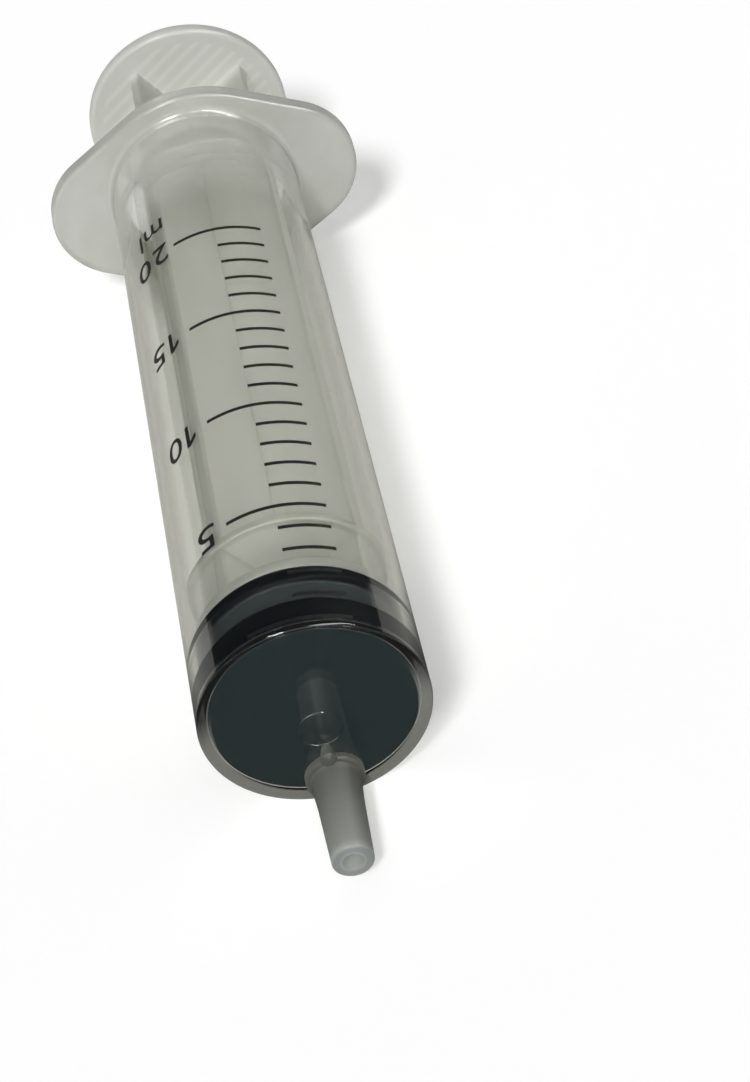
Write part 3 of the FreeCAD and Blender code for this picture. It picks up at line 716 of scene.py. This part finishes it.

# %% [markdown]
# ### Natural polypropylene
# The rod is polypropylene with no colour added and no clarifier: milky all through. The thumb
# rest is thicker than the ribs, and milkier. The grip grooves on its far side are painted on it as
# pale stripes, painted light for the grooves that show through it. A rib's narrow edge leads light
# away along the rib, so it is painted duller than the rib's flank as painted shade, and the disc
# rims a little less. The rod is also painted duller towards the thumb rest, as painted shade.

# %% Natural polypropylene


def rod_zones(tree, split, reach, flow):
    """Thick in the thumb rest, thin in the ribs and discs, satin all over."""
    depth = add(tree, "ShaderNodeMapRange", SMOOTH,
                {"Value": split.outputs["X"], "From Min": THUMB_FRONT - 2.5,
                 "From Max": THUMB_FRONT - 0.1})
    depth = depth.outputs["Result"]
    thin = add(tree, "ShaderNodeValToRGB",
               {"stops": [(0.3, "#dddddb"), (0.7, "#d8d8d5")]}, {"Fac": flow})
    thick = add(tree, "ShaderNodeValToRGB",
                {"stops": [(0.3, "#d2d3ce"), (0.7, "#cdcec8")]}, {"Fac": flow})
    # Painted light: pale stripes on the thumb rest where the grooves on its far side show through.
    turned_y = add(tree, "ShaderNodeMath", {"operation": "MULTIPLY"},
                   {0: split.outputs["Y"], 1: math.cos(ROD_TURN)})
    crossways = add(tree, "ShaderNodeMath", {"operation": "MULTIPLY_ADD"},
                    {0: split.outputs["Z"], 1: math.sin(ROD_TURN), 2: turned_y.outputs[0]})
    wave = add(tree, "ShaderNodeMath", {"operation": "MULTIPLY"},
               {0: crossways.outputs[0], 1: math.tau / GROOVE_PITCH})
    wave = add(tree, "ShaderNodeMath", {"operation": "COSINE"}, {0: wave.outputs[0]})
    groove_painted_light = add(tree, "ShaderNodeMapRange", None,
                 {"Value": wave.outputs[0], "From Min": -1.0, "From Max": 0.2,
                  "To Min": 1.0, "To Max": 0.0})
    field_part = add(tree, "ShaderNodeMapRange", SMOOTH,
                     {"Value": reach, "From Min": GROOVE_FIELD - 0.4, "From Max": GROOVE_FIELD,
                      "To Min": 1.0, "To Max": 0.0})
    groove_painted_light = add(tree, "ShaderNodeMath", {"operation": "MULTIPLY"},
                 {0: groove_painted_light.outputs["Result"], 1: field_part.outputs["Result"]})
    thick = add(tree, "ShaderNodeMix", {"data_type": "RGBA"},
                {0: groove_painted_light.outputs[0], 6: thick.outputs["Color"], 7: colour("#dadbd6")})
    # Painted shade: the ribs' narrow edges are painted duller, and the disc rims a little less.
    rib_edge_painted_shade = add(tree, "ShaderNodeMapRange", SMOOTH,
               {"Value": reach, "From Min": RIB_RADIUS - 0.5, "From Max": RIB_RADIUS - 0.1,
                "To Max": 0.85})
    past_discs = add(tree, "ShaderNodeMapRange", SMOOTH,
                     {"Value": split.outputs["X"], "From Min": 17.0, "From Max": 18.0,
                      "To Min": 0.8})
    rib_edge_painted_shade = add(tree, "ShaderNodeMath", {"operation": "MULTIPLY"},
               {0: rib_edge_painted_shade.outputs["Result"], 1: past_discs.outputs["Result"]})
    # Painted shade: the rod's colour grows darker from 84 to 104 mm along it, towards the thumb
    # rest.
    painted_shade_towards_thumb = add(tree, "ShaderNodeMapRange", SMOOTH,
                 {"Value": split.outputs["X"], "From Min": 84.0, "From Max": 104.0})
    thin = add(tree, "ShaderNodeMix", {"data_type": "RGBA"},
               {0: rib_edge_painted_shade.outputs[0], 6: thin.outputs["Color"], 7: colour("#b4b5af")})
    thin = add(tree, "ShaderNodeMix", {"data_type": "RGBA"},
               {0: painted_shade_towards_thumb.outputs["Result"], 6: thin.outputs[2], 7: colour("#c2c3bd")})
    shade = add(tree, "ShaderNodeMix", {"data_type": "RGBA"},
                {0: depth, 6: thin.outputs[2], 7: thick.outputs[2]})
    rough = add(tree, "ShaderNodeMapRange", None, {"Value": depth, "To Min": 0.4, "To Max": 0.38})
    return depth, rough.outputs["Result"], shade.outputs[2]


milky_plastic, _, _ = polypropylene("natural_polypropylene", rod_zones, (0.6, 0.25),
                                             ("#e2e3de", "#8c8d89"), 0.4)
dress(rod, milky_plastic)

# %% [markdown]
# ### Black rubber
# The stopper is moulded rubber with a thin film of oil. Its two ribs are pressed on the bore, and
# their colour is painted near black, as painted shade where no film of air mirrors the light.
# Between them the film of air shows the rubber's own dull grey, and the face has a slight blue
# cast.

# %% Black rubber
material, tree = new_material("black_rubber")
own, split, _ = in_drawing(tree)
grain = add(tree, "ShaderNodeTexNoise", None, {"Vector": own, "Scale": 2.5, "Detail": 3.0})
grain = grain.outputs["Fac"]
face = add(tree, "ShaderNodeValToRGB", {"stops": [(0.3, "#1d272b"), (0.7, "#222d31")]},
           {"Fac": grain})
waist = add(tree, "ShaderNodeValToRGB", {"stops": [(0.3, "#2a3033"), (0.7, "#32383b")]},
            {"Fac": grain})
# Painted shade: the ribs pressed on the bore are painted near black.
pressed_painted_black = add(tree, "ShaderNodeValToRGB", {"stops": [(0.3, "#05080c"), (0.7, "#090d12")]},
              {"Fac": grain})
on_side = add(tree, "ShaderNodeMapRange", SMOOTH,
              {"Value": split.outputs["X"], "From Min": 1.3, "From Max": 1.5})
into_waist = add(tree, "ShaderNodeMapRange", SMOOTH,
                 {"Value": split.outputs["X"], "From Min": WAIST_FRONT - 0.15,
                  "From Max": WAIST_FRONT + 0.05, "To Min": 1.0, "To Max": 0.0})
out_of_waist = add(tree, "ShaderNodeMapRange", SMOOTH,
                   {"Value": split.outputs["X"], "From Min": WAIST_REAR - 0.05,
                    "From Max": WAIST_REAR + 0.15})
on_rib = add(tree, "ShaderNodeMath", {"operation": "MAXIMUM"},
             {0: into_waist.outputs["Result"], 1: out_of_waist.outputs["Result"]})
sides = add(tree, "ShaderNodeMix", {"data_type": "RGBA"},
            {0: on_rib.outputs[0], 6: waist.outputs["Color"], 7: pressed_painted_black.outputs["Color"]})
shade = add(tree, "ShaderNodeMix", {"data_type": "RGBA"},
            {0: on_side.outputs["Result"], 6: face.outputs["Color"], 7: sides.outputs[2]})
bump = add(tree, "ShaderNodeBump", None, {"Height": grain, "Strength": 0.1, "Distance": 0.05 * MM})
body = add(tree, "ShaderNodeBsdfPrincipled", None,
           {"Base Color": shade.outputs[2], "Roughness": 0.4, "IOR": 1.52,
            "Specular IOR Level": 0.1, "Normal": bump.outputs["Normal"]})
add(tree, "ShaderNodeOutputMaterial", None, {"Surface": body.outputs["BSDF"]})
dress(stopper, material)

# %% [markdown]
# ### Printed ink
# Screen-printed black ink: matt, thin, and uneven enough to show fine pinholes.

# %% Printed ink
material, tree = new_material("black_ink")
own, _, _ = in_drawing(tree)
grain = add(tree, "ShaderNodeTexNoise", None, {"Vector": own, "Scale": 4.0, "Detail": 2.0})
shade = add(tree, "ShaderNodeValToRGB", {"stops": [(0.35, "#0f1011"), (0.75, "#232426")]},
            {"Fac": grain.outputs["Fac"]})
body = add(tree, "ShaderNodeBsdfPrincipled", None,
           {"Base Color": shade.outputs["Color"], "Roughness": 0.5, "IOR": 1.5,
            "Specular IOR Level": 0.3})
add(tree, "ShaderNodeOutputMaterial", None, {"Surface": body.outputs["BSDF"]})
for piece in print_pieces + [frame["nodes"]["scale_marks"]]:
    dress(piece, material)

# %% [markdown]
# ## Floor, lights and background
# The photograph has a white background and a soft grey shadow to the right. A white matt floor
# takes the shadow. Light Path tells rays that see the floor from rays that only carry its light,
# so it can look white without lighting the object more. A mirror-like reflection sees a darker
# room than the eye does, and a painted dark patch on the floor in front, a painted reflection of
# the camera's own dark shape: the black stopper would look grey behind a reflected white floor.

# %% Which rays see the room


def room_rays(tree):
    """Sockets that are 1 for rays that see the room, and 1 for mirror-like reflections."""
    path = add(tree, "ShaderNodeLightPath")
    bounced = add(tree, "ShaderNodeMath", {"operation": "GREATER_THAN"},
                  {0: path.outputs["Glossy Depth"], 1: 0.5})
    carrying = add(tree, "ShaderNodeMath", {"operation": "GREATER_THAN"},
                   {0: path.outputs["Diffuse Depth"], 1: 0.5})
    mirrored = add(tree, "ShaderNodeMath", {"operation": "GREATER_THAN"},
                   {0: bounced.outputs[0], 1: carrying.outputs[0]})
    seen = add(tree, "ShaderNodeMath", {"operation": "MAXIMUM"},
               {0: path.outputs["Is Camera Ray"], 1: path.outputs["Is Transmission Ray"]})
    seen = add(tree, "ShaderNodeMath", {"operation": "GREATER_THAN"},
               {0: seen.outputs[0], 1: mirrored.outputs[0]})
    return seen.outputs[0], mirrored.outputs[0]


# %% Floor and world
FLOOR_GLOW = 0.225
ROOM_LIGHT = 0.5
ROOM_SEEN = 1.0
ROOM_MIRRORED = 0.03

floor_bm = bmesh.new()
bmesh.ops.create_grid(floor_bm, x_segments=1, y_segments=1, size=4.0)
floor = as_object(floor_bm, "floor")
material, tree = new_material("white_floor")
seen, mirrored = room_rays(tree)
lift = add(tree, "ShaderNodeMath", {"operation": "MULTIPLY"}, {0: seen, 1: FLOOR_GLOW})
place = add(tree, "ShaderNodeTexCoord").outputs["Object"]
place = add(tree, "ShaderNodeSeparateXYZ", None, {"Vector": place})
front_x = PLACE.translation.x
# Painted reflection: mirror-like rays see the floor darker, and a dark patch in front of the
# syringe for the camera's shape.
beside = add(tree, "ShaderNodeMapRange", SMOOTH,
             {"Value": place.outputs["X"], "From Min": front_x + 14 * MM,
              "From Max": front_x + 34 * MM})
mirrored_floor_painted_shade = add(tree, "ShaderNodeMix", {"data_type": "RGBA"},
           {0: beside.outputs["Result"], 6: colour("#525252"), 7: colour("#c6c6c0")})
paper = add(tree, "ShaderNodeMix", {"data_type": "RGBA"},
            {0: mirrored, 6: colour("#eaeaea"), 7: mirrored_floor_painted_shade.outputs[2]})
matt = add(tree, "ShaderNodeBsdfDiffuse", None, {"Color": paper.outputs[2]})
glow = add(tree, "ShaderNodeEmission", None, {"Strength": lift.outputs[0]})
both = add(tree, "ShaderNodeAddShader")
tree.links.new(matt.outputs["BSDF"], both.inputs[0])
tree.links.new(glow.outputs["Emission"], both.inputs[1])
add(tree, "ShaderNodeOutputMaterial", None, {"Surface": both.outputs["Shader"]})
dress(floor, material)

world = bpy.data.worlds.new("studio")
bpy.context.scene.world = world
world.use_nodes = True
tree = world.node_tree
tree.nodes.clear()
seen, mirrored = room_rays(tree)
level = add(tree, "ShaderNodeMapRange", None,
            {"Value": seen, "To Min": ROOM_LIGHT, "To Max": ROOM_SEEN})
level = add(tree, "ShaderNodeMath", {"operation": "MULTIPLY_ADD"},
            {0: mirrored, 1: ROOM_MIRRORED - ROOM_LIGHT, 2: level.outputs["Result"]})
sky = add(tree, "ShaderNodeBackground", None, {"Strength": level.outputs[0]})
add(tree, "ShaderNodeOutputWorld", None, {"Surface": sky.outputs["Background"]})

# %% [markdown]
# The main light is a large window, in front of the nozzle and to the left. A sun lamp with a wide
# angle gives the soft edge of its shadow.

# %% Window light
SUN_FROM = Vector((-0.95, 0.29, 1.0))
sun_data = bpy.data.lights.new("window", "SUN")
sun_data.energy = 2.35
sun_data.angle = math.radians(11)
sun = bpy.data.objects.new("window", sun_data)
bpy.context.scene.collection.objects.link(sun)
sun.rotation_mode = "QUATERNION"
sun.rotation_quaternion = SUN_FROM.to_track_quat("Z", "Y")

# %% [markdown]
# A wide soft box behind the camera's right shoulder draws the bright arc in the round where the
# tube meets the flange. It is for gloss alone, so it is hidden from the rays that carry plain
# light.

# %% Soft box for the gloss
box_data = bpy.data.lights.new("soft_box", "AREA")
box_data.shape = "RECTANGLE"
box_data.size = 0.85
box_data.size_y = 0.12
box_data.energy = 5.5
soft_box = bpy.data.objects.new("soft_box", box_data)
bpy.context.scene.collection.objects.link(soft_box)
flange_top = PLACE @ Vector((89, 0, 12))
box_side = turn.to_3x3() @ Vector((-0.27, -0.56, 0.78))
soft_box.rotation_mode = "QUATERNION"
soft_box.rotation_quaternion = box_side.to_track_quat("Z", "Y")
soft_box.location = flange_top + box_side * 0.6
soft_box.visible_diffuse = False

# %% [markdown]
# ## Finish
# The Standard view shows the colours as they were set.

# %% Finish
bpy.context.scene.view_settings.view_transform = "Standard"
